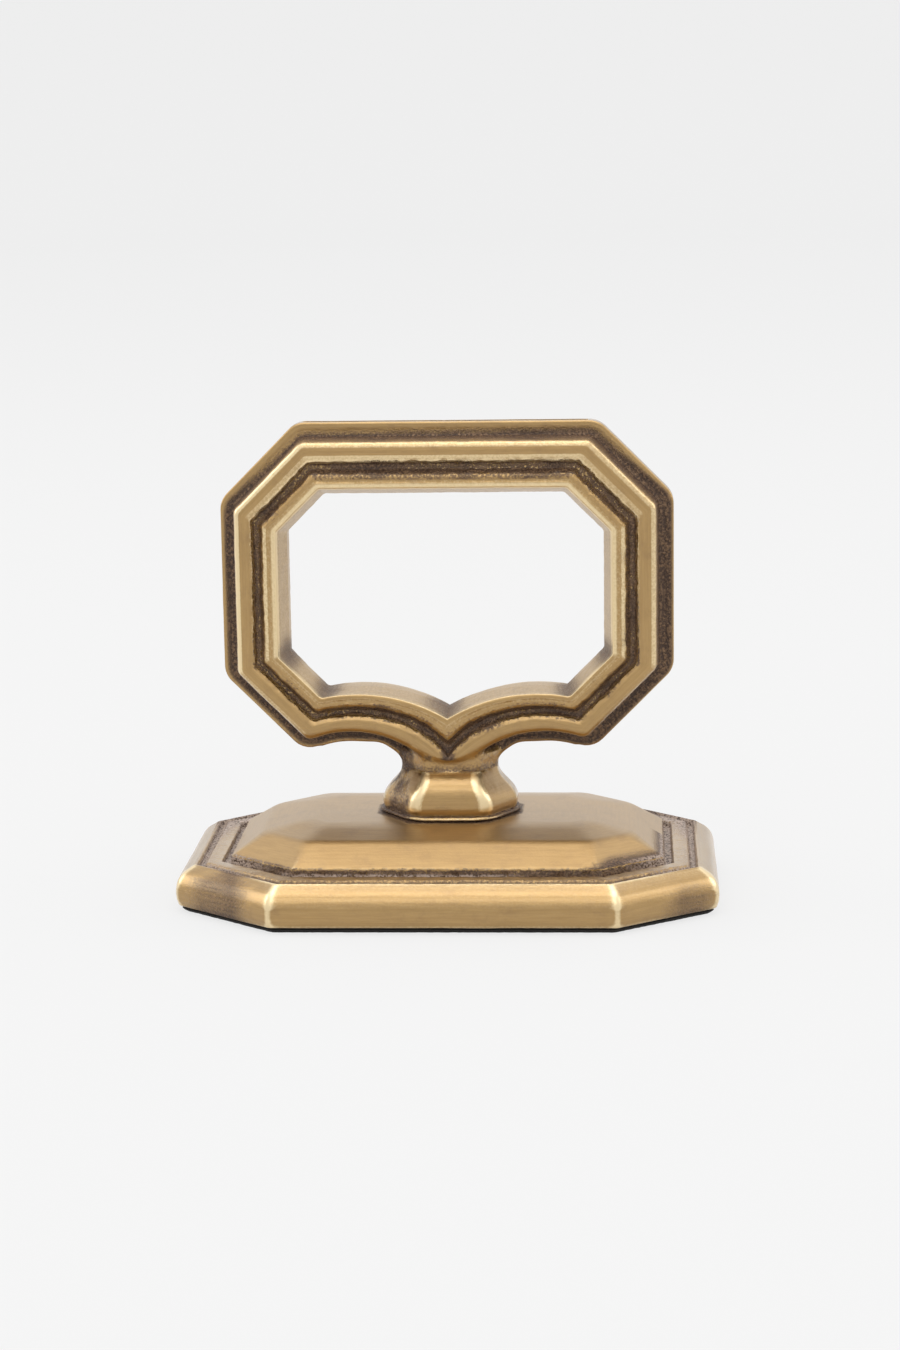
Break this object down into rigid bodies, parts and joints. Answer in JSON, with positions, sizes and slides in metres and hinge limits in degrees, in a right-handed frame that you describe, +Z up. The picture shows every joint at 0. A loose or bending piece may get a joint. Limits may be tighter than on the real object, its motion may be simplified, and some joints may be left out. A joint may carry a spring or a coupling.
{
  "type": "place card napkin ring",
  "caption": "Octagonal moulded brass napkin ring whose sawn top slot holds a place card, on a stepped octagonal brass base with a felt underside.",
  "frame": {"origin": "middle of the felt face that rests on the table", "axes": "+Z up, +X to the right along the ring's width, -Y towards the viewer at the front, so a napkin passes through along Y"},
  "size_m": [0.0644, 0.046, 0.057],
  "materials": {
    "ring_brass": "brushed cast brass, antiqued dark in the grooves",
    "base_brass": "brushed cast brass, antiqued dark in the grooves",
    "screw_steel": "zinc plated",
    "washer_steel": "plain spring steel",
    "felt": "black felt"
  },
  "bodies": {
    "root": {"ring_casting": "ring_brass", "base_casting": "base_brass", "fixing_screw": "screw_steel", "spring_washer": "washer_steel", "felt_pad": "felt"}
  },
  "joints": []
}
